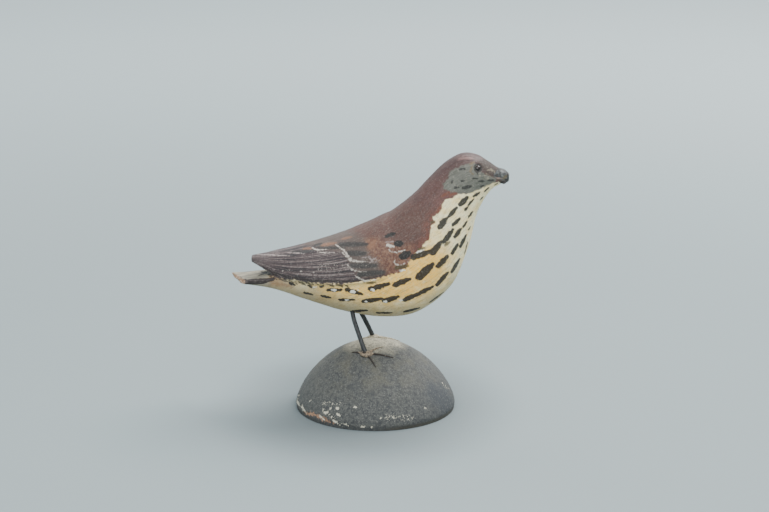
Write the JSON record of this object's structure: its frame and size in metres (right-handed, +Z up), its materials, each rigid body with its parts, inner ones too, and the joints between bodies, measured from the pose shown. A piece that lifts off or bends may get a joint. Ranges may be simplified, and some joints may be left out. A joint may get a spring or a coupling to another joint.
{
  "type": "thrasher carving",
  "caption": "Miniature carved and painted songbird with a streaked breast, on wire legs, standing on a rock-like painted mound.",
  "frame": {"origin": "centre of the mound's flat underside", "axes": "+X towards the bird's head, +Y towards the bird's left side, +Z up"},
  "size_m": [0.0803, 0.046, 0.0752],
  "materials": {
    "mound_paint": "matt mottled slate-grey paint over wood, dusty beige on top, chipped to bare wood along the foot",
    "bird_paint": "hand-painted plumage over wood: rufous brown back and wings, grey cheeks, cream breast and belly with near-black streaks, low satin sheen",
    "leg_wire": "dark iron wire, dull, scuffed lighter in places",
    "foot_putty": "matt peach-beige putty, toes painted near black",
    "eye_glass": "small glossy near-black glass bead"
  },
  "bodies": {
    "root": {"mound": "mound_paint", "bird": "bird_paint", "right_leg": "leg_wire", "left_leg": "leg_wire", "right_foot": "foot_putty", "left_foot": "foot_putty", "right_eye": "eye_glass", "left_eye": "eye_glass"}
  },
  "joints": []
}
